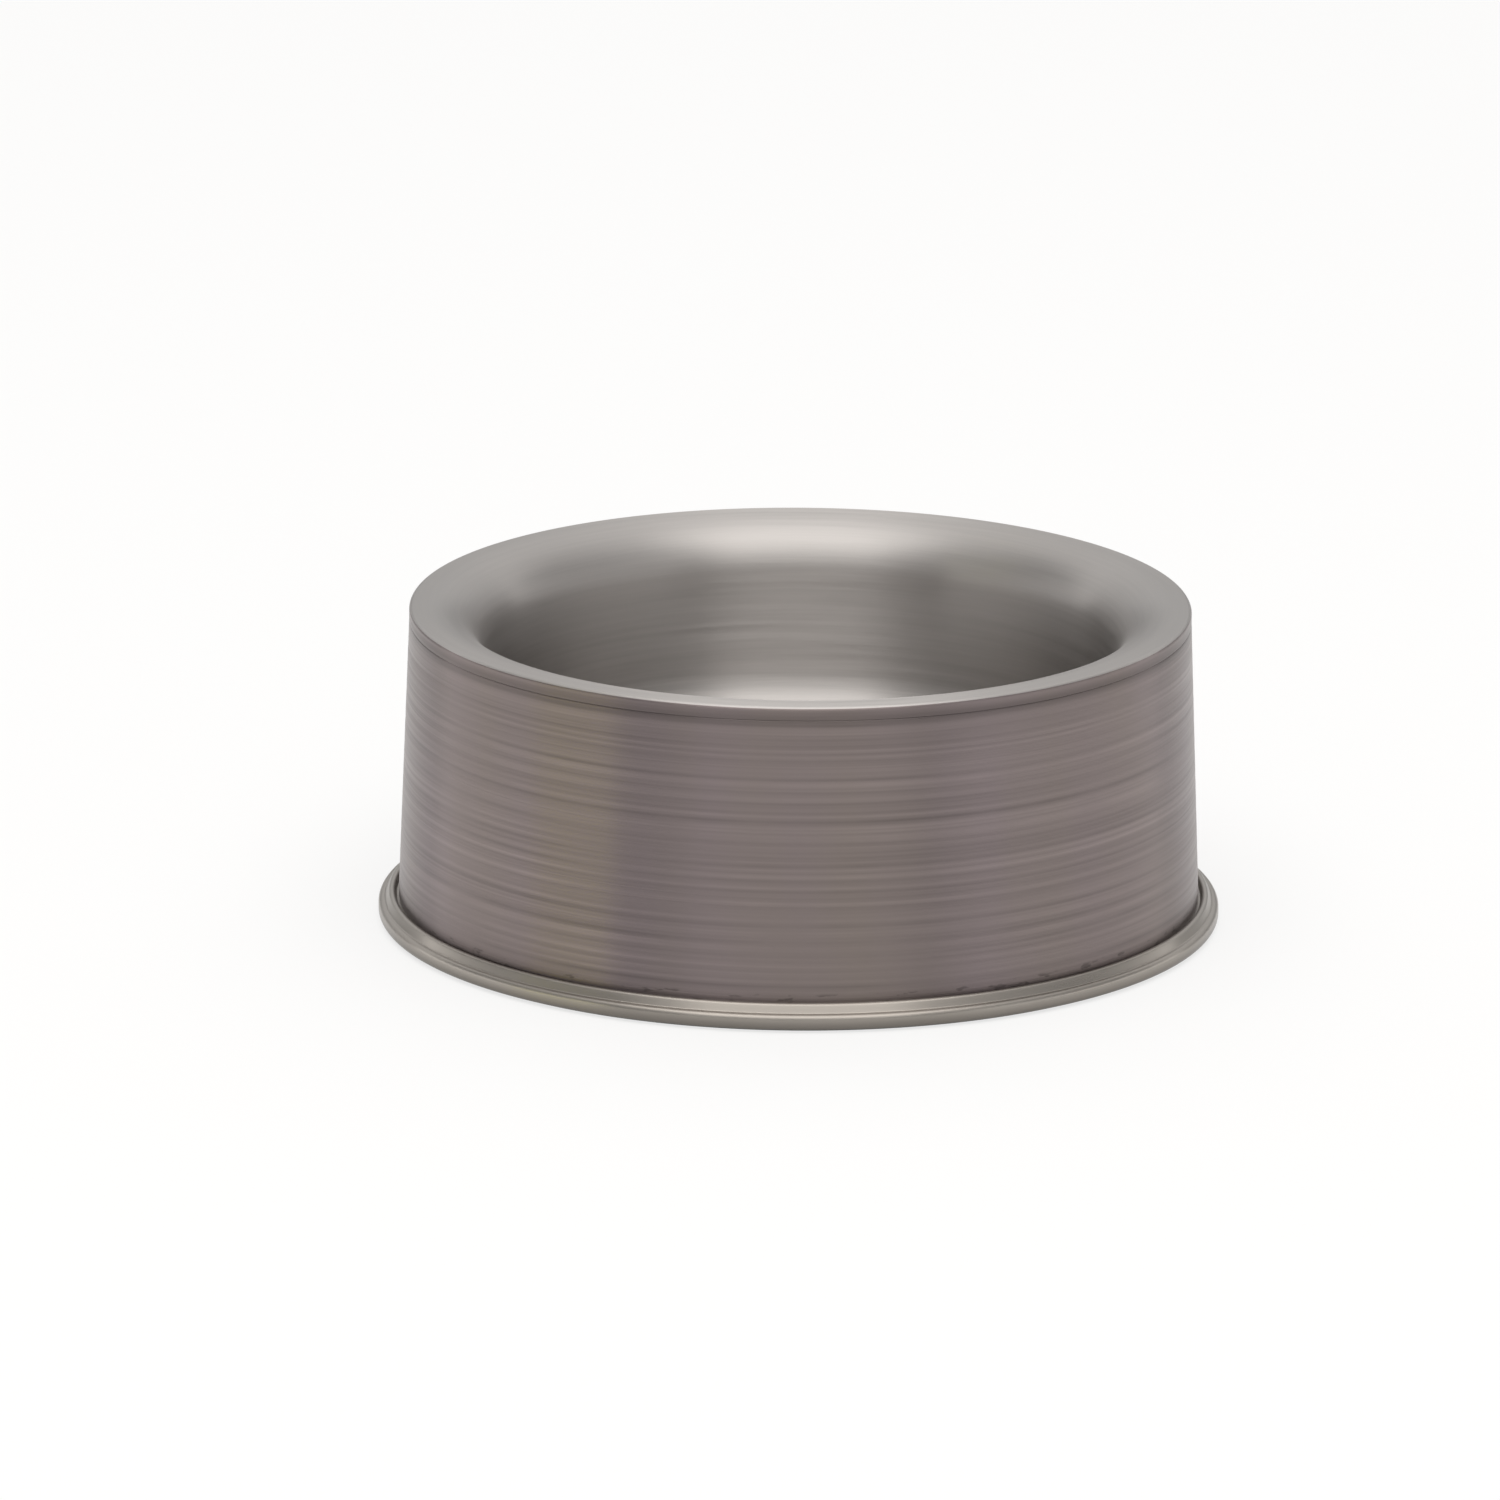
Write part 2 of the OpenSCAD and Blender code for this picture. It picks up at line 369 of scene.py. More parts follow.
def turned_mesh(name, outline, segments, shift=None):
    """Turns an outline round the axis. shift(point, angle) says how far a point moves out."""
    area = sum(
        p.x * q.y - q.x * p.y for p, q in zip(outline, outline[1:] + outline[:1])
    )
    if area < 0:
        outline = outline[::-1]
    mesh = bmesh.new()
    rings = []
    for p in outline:
        if p.x < ON_AXIS:
            rings.append([mesh.verts.new((0, 0, p.y))])
            continue
        ring = []
        for s in range(segments):
            angle = 2 * math.pi * s / segments
            radius = p.x + (shift(p, angle) if shift else 0.0)
            ring.append(
                mesh.verts.new((radius * math.cos(angle), radius * math.sin(angle), p.y))
            )
        rings.append(ring)
    for lower, upper in zip(rings, rings[1:] + rings[:1]):
        if len(lower) == 1 and len(upper) == 1:
            continue
        for s in range(segments):
            t = (s + 1) % segments
            corners = [lower[s % len(lower)], lower[t % len(lower)]]
            corners += [upper[t % len(upper)], upper[s % len(upper)]]
            mesh.faces.new(list(dict.fromkeys(corners)))
    for face in mesh.faces:
        face.smooth = True
    data = bpy.data.meshes.new(name)
    mesh.normal_update()
    mesh.to_mesh(data)
    mesh.free()
    piece = bpy.data.objects.new(name, data)
    bpy.context.scene.collection.objects.link(piece)
    return piece


# Materials


def add_node(tree, kind, inputs=None, **settings):
    """Adds a node with its settings, and sets or links the inputs named in the mapping."""
    node = tree.nodes.new(kind)
    for key, value in settings.items():
        setattr(node, key, value)
    for key, value in (inputs or {}).items():
        if isinstance(value, bpy.types.NodeSocket):
            tree.links.new(value, node.inputs[key])
        else:
            node.inputs[key].default_value = value
    return node


def new_material(name):
    """An empty material and its node tree."""
    material = bpy.data.materials.new(name)
    material.use_nodes = True
    material.node_tree.nodes.clear()
    return material, material.node_tree


def inside(tree, *edges):
    """How far a place lies inside soft edges: each is a value, its outer and its inner end."""
    share = 1.0
    for value, outer, inner in edges:
        part = add_node(
            tree, "ShaderNodeMapRange", {"Value": value, "From Min": outer, "From Max": inner},
            interpolation_type="SMOOTHSTEP",
        ).outputs[0]
        share = add_node(
            tree, "ShaderNodeMath", {0: part, 1: share}, operation="MULTIPLY"
        ).outputs[0]
    return share


def white_share(tree, in_picture, in_steel):
    """How white the ground and backdrop are, in the picture and where the steel mirrors them."""
    path = add_node(tree, "ShaderNodeLightPath").outputs
    straight = add_node(
        tree, "ShaderNodeMath",
        {0: path["Is Camera Ray"], 1: path["Is Transmission Ray"]}, operation="MAXIMUM",
    ).outputs[0]
    straight = add_node(
        tree, "ShaderNodeMath", {0: straight, 1: in_picture}, operation="MULTIPLY"
    ).outputs[0]
    mirrored = add_node(
        tree, "ShaderNodeMath", {0: path["Is Glossy Ray"], 1: in_steel}, operation="MULTIPLY"
    ).outputs[0]
    return add_node(
        tree, "ShaderNodeMath", {0: straight, 1: mirrored}, operation="MAXIMUM"
    ).outputs[0]


def turned_marks(tree, length_mm, spacing_mm, detail=2.0, roughness=0.5):
    """Marks left by turning, from 0 to 1: long round the axis, close along the section.

    length_mm is how long a mark is round the rim, and spacing_mm how far it is to the next.
    """
    place = add_node(tree, "ShaderNodeTexCoord").outputs["Object"]
    flat = add_node(
        tree, "ShaderNodeVectorMath", {0: place, 1: (1, 1, 0)}, operation="MULTIPLY"
    ).outputs[0]
    radius = add_node(tree, "ShaderNodeVectorMath", {0: flat}, operation="LENGTH").outputs["Value"]
    facing = add_node(tree, "ShaderNodeVectorMath", {0: flat}, operation="NORMALIZE").outputs[0]
    facing = add_node(
        tree, "ShaderNodeVectorMath",
        {0: facing, "Scale": bowl_high.x / (length_mm * MM)}, operation="SCALE",
    ).outputs[0]
    height = add_node(tree, "ShaderNodeSeparateXYZ", {0: place}).outputs["Z"]
    run = add_node(tree, "ShaderNodeMath", {0: radius, 1: height}, operation="ADD").outputs[0]
    run = add_node(
        tree, "ShaderNodeMath", {0: run, 1: spacing_mm * MM}, operation="DIVIDE"
    ).outputs[0]
    lift = add_node(tree, "ShaderNodeCombineXYZ", {"Z": run}).outputs[0]
    spread = add_node(
        tree, "ShaderNodeVectorMath", {0: facing, 1: lift}, operation="ADD"
    ).outputs[0]
    return add_node(
        tree, "ShaderNodeTexNoise",
        {"Vector": spread, "Scale": 1.0, "Detail": detail, "Roughness": roughness},
    ).outputs["Fac"]


def with_dirt_and_shade(tree, coloured, dirt_and_shade_mask, share, dirt_and_shade):
    """The colour with a dark tone laid over it, up to a share of it. Dirt in some places, painted
    shade in others.
    """
    dirt_and_shade_mask = add_node(tree, "ShaderNodeMath", {0: dirt_and_shade_mask, 1: share}, operation="MULTIPLY").outputs[0]
    return add_node(
        tree, "ShaderNodeMix", {"Factor": dirt_and_shade_mask, "A": coloured, "B": (*dirt_and_shade, 1)},
        data_type="RGBA",
    ).outputs["Result"]


def ringed(tree, steel, roughness, rings, darkest, brightest):
    """Colour and roughness of a steel that vary a little from ring to ring."""
    tone = add_node(
        tree, "ShaderNodeMapRange",
        {"Value": rings, "From Min": 0.3, "From Max": 0.7, "To Min": darkest,
         "To Max": brightest},
    ).outputs[0]
    coloured = add_node(
        tree, "ShaderNodeMix", {"Factor": 1.0, "A": (*steel, 1), "B": tone},
        data_type="RGBA", blend_type="MULTIPLY",
    ).outputs["Result"]
    rough = add_node(
        tree, "ShaderNodeMapRange",
        {"Value": rings, "From Min": 0.3, "From Max": 0.7,
         "To Min": roughness - 0.03, "To Max": roughness + 0.04},
    ).outputs[0]
    return coloured, rough


def turned_finish(tree, sockets):
    """Ends a steel's nodes: its marks run round the axis, and draw its gloss out across them."""
    tangent = add_node(
        tree, "ShaderNodeTangent", direction_type="RADIAL", axis="Z"
    ).outputs[0]
    shader = add_node(
        tree, "ShaderNodeBsdfPrincipled",
        {"Metallic": 1.0, "Anisotropic Rotation": 0.25, "Tangent": tangent, **sockets},
    )
    add_node(tree, "ShaderNodeOutputMaterial", {"Surface": shader.outputs[0]})


def ground_shell_steel(shell, seam_z):
    """Stainless steel ground round and round with a belt, which leaves level lines.

    The scratches run round the sleeve, so its gloss is drawn out up and down in soft bands. Real
    ones are about 0.1 mm apart, too fine to show, so lines 1.7 and 0.5 mm apart stand for them.
    They come and go in patches some 36 mm long, and the steel is browner here and there. Dirt sits
    in spots along the crevice at the foot, and a band round the seam under the lip is darkened as
    painted shade.
    """
    if "belt_ground_stainless" in bpy.data.materials:
        return bpy.data.materials["belt_ground_stainless"]
    material, tree = new_material("belt_ground_stainless")
    lines = turned_marks(tree, length_mm=900, spacing_mm=1.7)
    fine = turned_marks(tree, length_mm=150, spacing_mm=0.5, roughness=0.6)
    worked = turned_marks(tree, length_mm=36, spacing_mm=22)
    browner = turned_marks(tree, length_mm=26, spacing_mm=110)
    spots = turned_marks(tree, length_mm=4.2, spacing_mm=1.4)
    coloured = add_node(
        tree, "ShaderNodeMix",
        {"Factor": browner, "A": (*shell.steel, 1), "B": (*shell.tint, 1)}, data_type="RGBA",
    ).outputs["Result"]
    weight = add_node(
        tree, "ShaderNodeMapRange",
        {"Value": worked, "From Min": 0.3, "From Max": 0.7, "To Min": 0.15, "To Max": 1.2},
    ).outputs[0]
    line = add_node(
        tree, "ShaderNodeMapRange",
        {"Value": lines, "From Min": 0.3, "From Max": 0.7,
         "To Min": -shell.line_share, "To Max": shell.line_share},
    ).outputs[0]
    line = add_node(
        tree, "ShaderNodeMath", {0: line, 1: weight, 2: 1.0}, operation="MULTIPLY_ADD"
    ).outputs[0]
    coloured = add_node(
        tree, "ShaderNodeMix", {"Factor": 1.0, "A": coloured, "B": line},
        data_type="RGBA", blend_type="MULTIPLY",
    ).outputs["Result"]
    place = add_node(tree, "ShaderNodeTexCoord").outputs["Object"]
    height = add_node(tree, "ShaderNodeSeparateXYZ", {0: place}).outputs["Z"]
    off_seam = add_node(
        tree, "ShaderNodeMath", {0: height, 1: seam_z}, operation="SUBTRACT"
    ).outputs[0]
    off_seam = add_node(tree, "ShaderNodeMath", {0: off_seam}, operation="ABSOLUTE").outputs[0]
    # Painted shade: a band round the seam under the lip is darkened.
    seam = inside(tree, (off_seam, shell.seam_shade_w, 0.3 * MM))
    coloured = with_dirt_and_shade(tree, coloured, seam, share=0.34, dirt_and_shade=shell.dirt_and_shade)
    reach = 0.9 * MM
    low = inside(
        tree, (spots, 0.58, 0.7), (height, shell.crevice_z + reach, shell.crevice_z)
    )
    coloured = with_dirt_and_shade(tree, coloured, low, share=0.4, dirt_and_shade=shell.dirt_and_shade)
    rough = add_node(
        tree, "ShaderNodeMapRange",
        {"Value": fine, "From Min": 0.25, "From Max": 0.75,
         "To Min": shell.roughness - 0.05, "To Max": shell.roughness + 0.05},
    ).outputs[0]
    both = add_node(tree, "ShaderNodeMath", {0: fine, 1: lines}, operation="ADD").outputs[0]
    bump = add_node(
        tree, "ShaderNodeBump", {"Height": both, "Strength": 0.35, "Distance": 0.12 * MM}
    ).outputs[0]
    turned_finish(
        tree,
        {"Base Color": coloured, "Roughness": rough, "Anisotropic": 0.97, "Normal": bump},
    )
    return material


def spun_bowl_steel(bowl):
    """Stainless steel drawn and spun smooth, then satined with a fine abrasive pad.

    Softly glossy, and brighter than the ground sleeve. The pad's rings are too fine to show, so
    faint ones 1.6 and 0.4 mm apart stand for them.
    """
    material, tree = new_material("satin_spun_stainless")
    rings = turned_marks(tree, length_mm=58, spacing_mm=1.6, detail=3.0, roughness=0.6)
    fine = turned_marks(tree, length_mm=18, spacing_mm=0.4)
    coloured, rough = ringed(
        tree, bowl.steel, bowl.roughness, rings, darkest=0.93, brightest=1.05
    )
    bump = add_node(
        tree, "ShaderNodeBump", {"Height": fine, "Strength": 0.15, "Distance": 0.08 * MM}
    ).outputs[0]
    turned_finish(
        tree, {"Base Color": coloured, "Roughness": rough, "Anisotropic": 0.9, "Normal": bump}
    )
    return material


def pressed_pan_steel(pan):
    """Stainless steel pressed from bright sheet, then buffed round the flange.

    Smoother than the sleeve, so the flange catches a broad crisp light in front, with faint rings
    1.1 mm apart. The lower part of its bead is darkened as painted shade, for the shadowed floor
    it mirrors.
    """
    material, tree = new_material("bright_pressed_stainless")
    rings = turned_marks(tree, length_mm=77, spacing_mm=1.1)
    coloured, rough = ringed(
        tree, pan.steel, pan.roughness, rings, darkest=0.94, brightest=1.04
    )
    place = add_node(tree, "ShaderNodeTexCoord").outputs["Object"]
    height = add_node(tree, "ShaderNodeSeparateXYZ", {0: place}).outputs["Z"]
    # Painted shade: the bead is darkened low down, where it mirrors the shadowed floor.
    low = inside(tree, (height, pan.bead_shade_z, pan_low.z + 0.4 * MM))
    coloured = with_dirt_and_shade(tree, coloured, low, share=0.5, dirt_and_shade=pan.dirt_and_shade)
    turned_finish(tree, {"Base Color": coloured, "Roughness": rough, "Anisotropic": 0.9})
    return material


def moulded_ring_rubber(ring):
    """Black rubber moulded in a spark-eroded tool, which leaves it matt with a fine grain.

    The grain, some 0.1 mm, is too fine to show, and is drawn 0.7 mm wide. Dust clings to it in
    patches of some 17 mm.
    """
    material, tree = new_material("moulded_black_rubber")
    place = add_node(tree, "ShaderNodeTexCoord").outputs["Object"]
    grain = add_node(
        tree, "ShaderNodeTexNoise", {"Vector": place, "Scale": 1 / (0.7 * MM), "Detail": 2.0}
    ).outputs["Fac"]
    dust = add_node(
        tree, "ShaderNodeTexNoise", {"Vector": place, "Scale": 1 / (17 * MM), "Detail": 4.0}
    ).outputs["Fac"]
    worn = add_node(
        tree, "ShaderNodeMapRange",
        {"Value": dust, "From Min": 0.45, "From Max": 0.75, "To Min": 0.0, "To Max": 0.35},
    ).outputs[0]
    coloured = add_node(
        tree, "ShaderNodeMix",
        {"Factor": worn, "A": (*ring.rubber, 1), "B": (*ring.dust, 1)}, data_type="RGBA",
    ).outputs["Result"]
    bump = add_node(
        tree, "ShaderNodeBump", {"Height": grain, "Strength": 0.4, "Distance": 0.1 * MM}
    ).outputs[0]
    shader = add_node(
        tree, "ShaderNodeBsdfPrincipled",
        {"Base Color": coloured, "Roughness": ring.roughness, "IOR": 1.52, "Normal": bump},
    )
    add_node(tree, "ShaderNodeOutputMaterial", {"Surface": shader.outputs[0]})
    return material


def matt_floor_paper(studio):
    """Seamless matt paper, which gives a plain pale ground and keeps the bowl's soft shadow.

    Its fibres are too fine to show, and are drawn as faint flecks 1.1 mm wide.
    """
    material, tree = new_material("matt_paper_floor")
    place = add_node(tree, "ShaderNodeTexCoord").outputs["Object"]
    fibre = add_node(
        tree, "ShaderNodeTexNoise", {"Vector": place, "Scale": 1 / (1.1 * MM), "Detail": 3.0}
    ).outputs["Fac"]
    tone = add_node(
        tree, "ShaderNodeMapRange", {"Value": fibre, "To Min": 0.99, "To Max": 1.0}
    ).outputs[0]
    coloured = add_node(
        tree, "ShaderNodeMix", {"Factor": 1.0, "A": (*studio.floor_colour, 1), "B": tone},
        data_type="RGBA", blend_type="MULTIPLY",
    ).outputs["Result"]
    shader = add_node(
        tree, "ShaderNodeBsdfPrincipled",
        {"Base Color": coloured, "Roughness": 0.9, "Specular IOR Level": 0.1},
    )
    share = white_share(tree, studio.floor_white, studio.mirrored_floor)
    white = add_node(tree, "ShaderNodeEmission", {"Color": (1, 1, 1, 1), "Strength": 1.0})
    both = add_node(
        tree, "ShaderNodeMixShader", {0: share, 1: shader.outputs[0], 2: white.outputs[0]}
    )
    add_node(tree, "ShaderNodeOutputMaterial", {"Surface": both.outputs[0]})
    return material


# Operators


def seat_piece(piece, node, slot, *materials):
    """Gives a piece its materials, and has it stand for its CAD node."""
    for material in materials:
        piece.data.materials.append(material)
    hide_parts(node)
    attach(piece, "root")


def lip_slant(sheet, shell):
    """How far the lip's cut edge slants, so that it lies on the shell's shoulder."""
    return shell.shoulder_h * sheet.sheet_t / (sheet.sheet_t + sheet.nest_gap)


class BOWL_OT_inner_bowl(bpy.types.Operator):
    """Spins the basin with its broad rolled rim."""

    bl_idname = "bowl.inner_bowl"
    bl_label = "Inner bowl"

    def execute(self, context):
        sheet = context.scene.bowl_sheet
        bowl = context.scene.bowl_inner
        rim_r = bowl_high.x
        top = bowl_high.z
        mouth_r = rim_r - bowl.rim_w
        floor_r = mouth_r - bowl.draw_in
        floor_z = top - bowl.depth
        row = sheet.row_max
        outline = sheet_outline(
            [(rim_r, top - bowl.lip_h), (rim_r, top), (mouth_r, top),
             (floor_r, floor_z), (0, floor_z)],
            [0, bowl.rim_corner_r, bowl.roll_r, bowl.fillet_r, 0],
            LEFT_SIDE, sheet.sheet_t, [row / 2, row / 2, row, row], sheet.bend_step, sheet.edge_r,
            lip_slant(sheet, context.scene.bowl_shell),
        )
        piece = turned_mesh("bowl_spun", outline, sheet.segments)
        # The lip is ground with the shell, so its outside has the shell's finish.
        lip_face = rim_r - sheet.sheet_t / 4
        steep = 0.6
        for face in piece.data.polygons:
            if face.center.xy.length > lip_face and abs(face.normal.z) < steep:
                face.material_index = 1
        seat_piece(
            piece, "inner_bowl", "satin_steel", spun_bowl_steel(bowl),
            ground_shell_steel(context.scene.bowl_shell, top - bowl.lip_h),
        )
        return {"FINISHED"}


class BOWL_OT_outer_shell(bpy.types.Operator):
    """Turns the tapered sleeve, with the coarse marks that grinding left in it."""

    bl_idname = "bowl.outer_shell"
    bl_label = "Outer shell"

    def execute(self, context):
        sheet = context.scene.bowl_sheet
        bowl = context.scene.bowl_inner
        shell = context.scene.bowl_shell
        rim_r = bowl_high.x
        top = bowl_high.z
        lip_z = top - bowl.lip_h
        foot_r = pan_high.x - shell.flange_w
        seat_h = shell_low.z
        nest_r = rim_r - sheet.sheet_t - sheet.nest_gap
        nest_z = top - sheet.sheet_t
        step_w = sheet.sheet_t + sheet.nest_gap
        rest_h = sheet.nest_gap * math.hypot(step_w, shell.shoulder_h) / step_w
        shoulder_z = lip_z + shell.shoulder_h - rest_h
        lean = math.atan2(bowl.draw_in, bowl.depth)
        roll_back = bowl.roll_r * math.tan((math.pi / 2 - lean) / 2)
        top_r = rim_r - bowl.rim_w + roll_back + shell.top_back
        row = sheet.row_max
        outline = sheet_outline(
            [(top_r, nest_z), (nest_r, nest_z), (nest_r, shoulder_z),
             (rim_r, shoulder_z - shell.shoulder_h), (foot_r, seat_h + shell.edge_h),
             (foot_r, seat_h)],
            [0, shell.bend_r + sheet.sheet_t, shell.shoulder_in_r, shell.shoulder_out_r,
             shell.edge_r, 0],
            RIGHT_SIDE, sheet.sheet_t, [row, row, row, shell.mark_row, shell.mark_row],
            sheet.bend_step, sheet.edge_r,
        )
        wall_low = seat_h + shell.edge_h
        wall_high = lip_z - 2 * shell.shoulder_h
        wall_lean = (foot_r - rim_r) / (wall_high - wall_low)

        def grinding(point, angle):
            """How far a point moves: the marks wander, and come and go round the wall."""
            face_r = foot_r - wall_lean * (point.y - wall_low)
            if not wall_low < point.y < wall_high or point.x < face_r - sheet.sheet_t / 2:
                return 0.0
            count = point.y / shell.mark_pitch
            wander = 0.7 * noise.noise(Vector((0, 0, 0.6 * count)))
            spot = Vector((1.2 * math.cos(angle), 1.2 * math.sin(angle), 0.9 * count))
            weight = max(0.15, 0.6 + 0.8 * noise.noise(spot))
            wave = 0.5 + 0.5 * math.cos(2 * math.pi * (count + wander))
            ends = min(point.y - wall_low, wall_high - point.y, shell.mark_fade)
            return -shell.mark_depth * weight * wave * ends / shell.mark_fade

        piece = turned_mesh("shell_ground", outline, sheet.segments, grinding)
        seat_piece(piece, "outer_shell", "brushed_steel", ground_shell_steel(shell, lip_z))
        return {"FINISHED"}


class BOWL_OT_base_pan(bpy.types.Operator):
    """Presses the base: dish, channel, groove, crest, sloping flange and rolled bead."""

    bl_idname = "bowl.base_pan"
    bl_label = "Base pan"

    def execute(self, context):
        sheet = context.scene.bowl_sheet
        shell = context.scene.bowl_shell
        pan = context.scene.bowl_pan
        foot_r = pan_high.x
        seat_h = shell_low.z
        bead_under = pan_low.z
        shell_foot_r = foot_r - shell.flange_w
        tight_out = pan.tight_r + sheet.sheet_t
        side_gap = pan.tight_r + sheet.nest_gap
        groove_in = shell_foot_r - sheet.sheet_t - side_gap
        groove_out = shell_foot_r + pan.crevice_w
        roof_h = seat_h + pan.roof_rise
        channel_foot = groove_in - 2 * sheet.sheet_t - pan.channel_w
        dish_r = pan.dish_d / 2
        dish_h = pan.panel_h + pan.dish_rise
        bead_top = bead_under + 2 * pan.bead_r + pan.bead_face
        crest = Vector((groove_out + pan.crest_r, seat_h + pan.crest_rise - pan.crest_r))
        valley = Vector((foot_r - pan.bead_r - pan.valley_w, bead_top + pan.tight_r))
        slope = math.asin((pan.crest_r + pan.tight_r) / (valley - crest).length)
        slope -= heading(crest, valley)
        crest_corner = crest.y + pan.crest_r * math.tan((math.pi / 2 + slope) / 2)
        valley_corner = valley.x - pan.tight_r * math.tan(slope / 2)
        tight = pan.tight_r
        row = sheet.row_max
        outline = sheet_outline(
            [(0, dish_h), (dish_r - pan.dish_slope_w, dish_h), (dish_r, pan.panel_h),
             (channel_foot, pan.panel_h), (channel_foot, roof_h), (groove_in, roof_h),
             (groove_in, seat_h), (groove_out, seat_h), (groove_out, crest_corner),
             (valley_corner, bead_top), (foot_r, bead_top), (foot_r, bead_under),
             (foot_r - pan.bead_r - pan.bead_tuck, bead_under)],
            [0, pan.dish_bend_r, pan.dish_bend_r, tight, tight_out, tight_out,
             tight, tight, pan.crest_r, tight, pan.bead_r, pan.bead_r, 0],
            RIGHT_SIDE, sheet.sheet_t, [row * 2, row] + [row * 2] * 3 + [row / 2] * 7,
            sheet.bend_step, sheet.edge_r,
        )
        piece = turned_mesh("base_pressed", outline, sheet.segments)
        seat_piece(piece, "base_pan", "pressed_steel", pressed_pan_steel(pan))
        return {"FINISHED"}


class BOWL_OT_foot_ring(bpy.types.Operator):
    """Moulds the rubber ring that is locked in the base's channel."""

    bl_idname = "bowl.foot_ring"
    bl_label = "Foot ring"

    def execute(self, context):
        sheet = context.scene.bowl_sheet
        shell = context.scene.bowl_shell
        pan = context.scene.bowl_pan
        ring = context.scene.bowl_ring
        foot_r = pan_high.x
        seat_h = shell_low.z
        side_gap = pan.tight_r + sheet.nest_gap
        groove_in = foot_r - shell.flange_w - sheet.sheet_t - side_gap
        in_r = groove_in - sheet.sheet_t - pan.channel_w + side_gap
        lip_r = ring_high.x
        step_r = groove_in - sheet.sheet_t - side_gap
        roof_h = ring_high.z
        groove_h = seat_h - sheet.sheet_t
        edge_r = foot_r - pan.bead_r - pan.bead_tuck - sheet.nest_gap
        crest_x = foot_r - shell.flange_w + pan.crevice_w + pan.crest_r
        lip_z = pan_low.z + sheet.sheet_t + sheet.nest_gap
        pitch = (edge_r - in_r) / (ring.tread_count + 1)
        corners = [(in_r, 0)]
        for i in range(1, ring.tread_count + 1):
            left = in_r + i * pitch - ring.tread_w / 2
            right = left + ring.tread_w
            corners += [(left, 0), (left, ring.tread_depth), (right, ring.tread_depth), (right, 0)]
        corners += [
            (edge_r, 0), (edge_r, lip_z), (lip_r, lip_z), (lip_r, lip_z + ring.lip_t),
            (edge_r, lip_z + ring.lip_t), (crest_x, groove_h),
            (step_r, groove_h), (step_r, roof_h), (in_r, roof_h),
        ]
        outline = moulded_outline(corners, ring.corner_r)
        piece = turned_mesh("foot_ring_moulded", outline, sheet.segments)
        seat_piece(piece, "foot_ring", "foot_rubber", moulded_ring_rubber(ring))
        return {"FINISHED"}


def moulded_outline(corners, corner_r):
    """Rounds every corner of a solid section, less where two corners stand close."""
    corners = [Vector(c) for c in corners]
    side_share = 0.4
    outline = []
    for i, corner in enumerate(corners):
        before = corners[i - 1] - corner
        after = corners[(i + 1) % len(corners)] - corner
        back = min(corner_r, side_share * before.length, side_share * after.length)
        outline += eased_corner(
            corner + before.normalized() * back, corner, corner + after.normalized() * back
        )
    return outline


class BOWL_OT_studio(bpy.types.Operator):
    """Lays the floor and sets the lights and the camera."""

    bl_idname = "bowl.studio"
    bl_label = "Studio"

    def execute(self, context):
        studio = context.scene.bowl_studio
        lay_floor(context.scene, studio)
        light_walls(context.scene, studio)
        hang_softbox(context.scene, studio)
        set_camera(context.scene, studio)
        context.scene.view_settings.view_transform = "Standard"
        return {"FINISHED"}


def lay_floor(scene, studio):
    reach = 12.0
    mesh = bmesh.new()
    bmesh.ops.create_circle(mesh, cap_ends=True, segments=96, radius=reach)
    data = bpy.data.meshes.new("floor")
    mesh.to_mesh(data)
    mesh.free()
    floor = bpy.data.objects.new("floor", data)
    floor.data.materials.append(matt_floor_paper(studio))
    scene.collection.objects.link(floor)


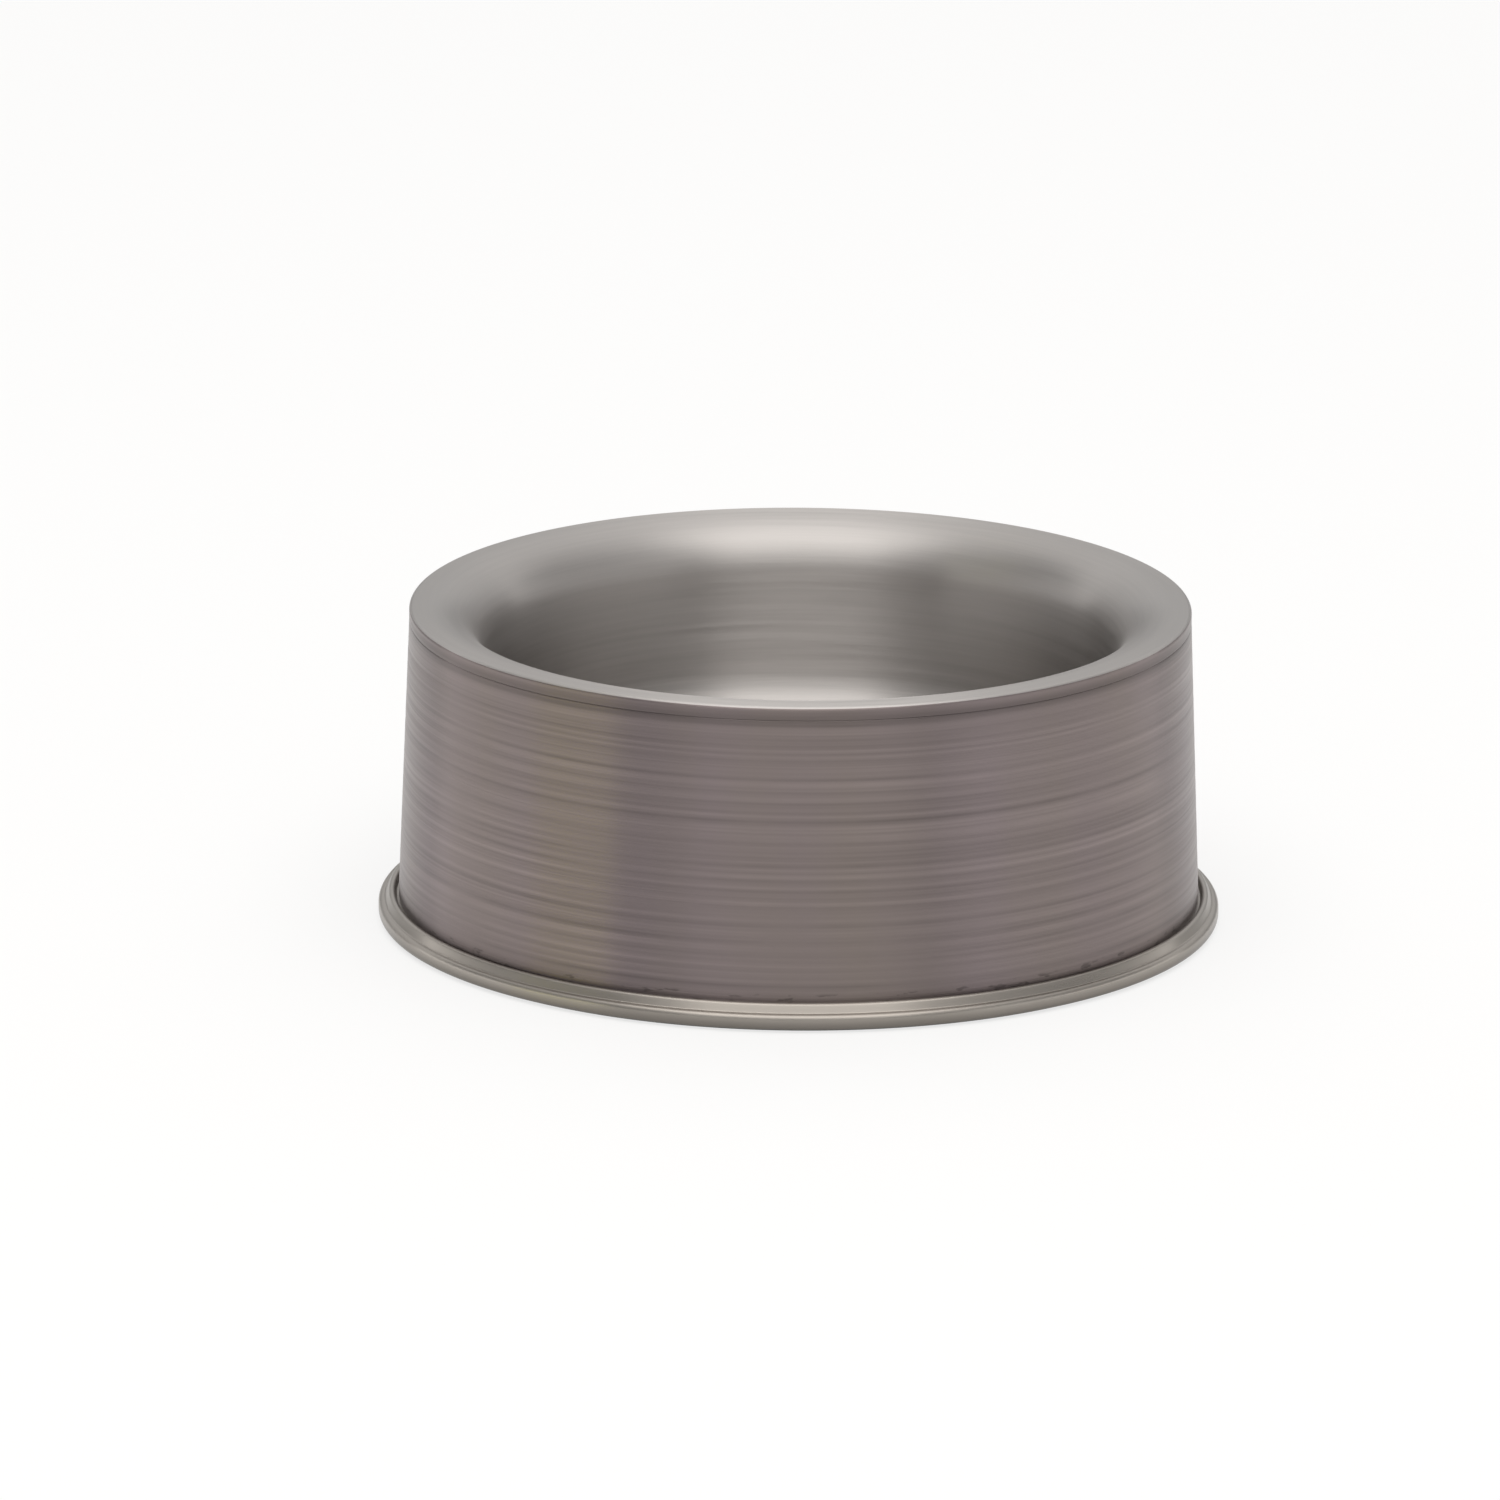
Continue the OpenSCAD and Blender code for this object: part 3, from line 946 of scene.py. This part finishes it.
def light_walls(scene, studio):
    """The studio round the bowl, in parts that are laid over each other with soft edges.

    A view line is told by how far it goes up, and on the plan by how far it goes across and ahead,
    each from -1 to 1. An edge gives where a part begins and where it is full.
    """
    world = bpy.data.worlds.new("studio_walls")
    scene.world = world
    world.use_nodes = True
    tree = world.node_tree
    tree.nodes.clear()
    line = add_node(tree, "ShaderNodeTexCoord").outputs["Generated"]
    up = add_node(tree, "ShaderNodeSeparateXYZ", {0: line}).outputs["Z"]
    plan = add_node(
        tree, "ShaderNodeVectorMath", {0: line, 1: (1, 1, 0)}, operation="MULTIPLY"
    ).outputs[0]
    plan = add_node(tree, "ShaderNodeVectorMath", {0: plan}, operation="NORMALIZE").outputs[0]
    across, ahead, _ = add_node(tree, "ShaderNodeSeparateXYZ", {0: plan}).outputs
    aside = add_node(tree, "ShaderNodeMath", {0: across}, operation="ABSOLUTE").outputs[0]
    front, back = (ahead, 0.1, -0.1), (ahead, -0.1, 0.1)
    left, right, sides = (across, -0.8, -0.825), (across, 0.8, 0.825), (aside, 0.8, 0.825)
    above_foot, below_it = (up, 0.15, 0.34), (up, 0.34, 0.15)
    parts = (
        (studio.wall_level, back, (up, 0.13, 0.2)),
        (studio.window_level, (ahead, -0.8, -0.84), (up, 0.18, 0.42)),
        (studio.ceiling_level, front, (up, 0.45, 0.8)),
        (studio.ceiling_level, back, (up, 0.3, 0.8)),
        (studio.left_foot_level, left),
        (studio.right_foot_level, right),
        (studio.right_foot_level, front, (across, 0.55, 0.85), below_it),
        (studio.left_level, left, above_foot),
        (studio.right_level, right, above_foot),
        (studio.ceiling_level, sides, (up, 0.55, 0.9)),
    )
    level = studio.front_level
    for part_level, *edges in parts:
        level = add_node(
            tree, "ShaderNodeMix",
            {"Factor": inside(tree, *edges), "A": level, "B": part_level}, data_type="FLOAT",
        ).outputs["Result"]
    warm = inside(tree, left, (ahead, -0.1, -0.2), (up, 0.11, 0.05))
    tone = add_node(
        tree, "ShaderNodeMix",
        {"Factor": warm, "A": (*studio.wall_colour, 1), "B": (*studio.warm_colour, 1)},
        data_type="RGBA",
    ).outputs["Result"]
    room = add_node(tree, "ShaderNodeBackground", {"Color": tone, "Strength": level})
    white = add_node(tree, "ShaderNodeBackground", {"Color": (1, 1, 1, 1), "Strength": 1.0})
    share = white_share(tree, 1.0, studio.mirrored_walls)
    both = add_node(
        tree, "ShaderNodeMixShader", {0: share, 1: room.outputs[0], 2: white.outputs[0]}
    )
    add_node(tree, "ShaderNodeOutputWorld", {"Surface": both.outputs[0]})


def hang_softbox(scene, studio):
    """A lamp shines straight down unless it is turned, so this one is only moved."""
    lamp = bpy.data.lights.new("softbox_overhead", "AREA")
    lamp.shape = "RECTANGLE"
    lamp.size, lamp.size_y = studio.softbox_size
    lamp.energy = studio.softbox_power
    lamp.color = studio.softbox_colour
    box = bpy.data.objects.new("softbox_overhead", lamp)
    box.location = studio.softbox_place
    scene.collection.objects.link(box)


def set_camera(scene, studio):
    lens = bpy.data.cameras.new("camera")
    lens.lens = studio.camera_lens
    lens.sensor_width = 36.0
    lens.clip_end = 100.0
    camera = bpy.data.objects.new("camera", lens)
    rise = studio.camera_rise
    out = Vector((0, -math.cos(rise), math.sin(rise)))
    place = Matrix.Translation(Vector(studio.aim) + studio.camera_distance * out)
    tilt = Matrix.Rotation(math.pi / 2 - rise, 4, "X")
    roll = Matrix.Rotation(studio.camera_roll, 4, "Z")
    camera.matrix_world = place @ tilt @ roll
    scene.collection.objects.link(camera)
    scene.camera = camera


OPERATORS = [
    BOWL_OT_inner_bowl,
    BOWL_OT_outer_shell,
    BOWL_OT_base_pan,
    BOWL_OT_foot_ring,
    BOWL_OT_studio,
]


class BOWL_PT_panel(bpy.types.Panel):
    """Lists the bowl's pieces and the studio."""

    bl_idname = "BOWL_PT_panel"
    bl_label = "Pet Bowl"
    bl_space_type = "VIEW_3D"
    bl_region_type = "UI"
    bl_category = "Pet Bowl"

    def draw(self, context):
        for group, settings in SETTINGS.items():
            box = self.layout.box()
            box.label(text=settings.__doc__)
            for name in settings.__annotations__:
                box.prop(getattr(context.scene, group), name)
        for operator in OPERATORS:
            self.layout.operator(operator.bl_idname)


def register():
    for settings in SETTINGS.values():
        bpy.utils.register_class(settings)
    for group, settings in SETTINGS.items():
        setattr(bpy.types.Scene, group, PointerProperty(type=settings))
    for operator in OPERATORS:
        bpy.utils.register_class(operator)
    bpy.utils.register_class(BOWL_PT_panel)


def unregister():
    bpy.utils.unregister_class(BOWL_PT_panel)
    for operator in reversed(OPERATORS):
        bpy.utils.unregister_class(operator)
    for group, settings in SETTINGS.items():
        delattr(bpy.types.Scene, group)
        bpy.utils.unregister_class(settings)


def main():
    register()
    bpy.ops.bowl.studio()
    bpy.ops.bowl.inner_bowl()
    bpy.ops.bowl.outer_shell()
    bpy.ops.bowl.base_pan()
    bpy.ops.bowl.foot_ring()


if __name__ == "__main__":
    main()
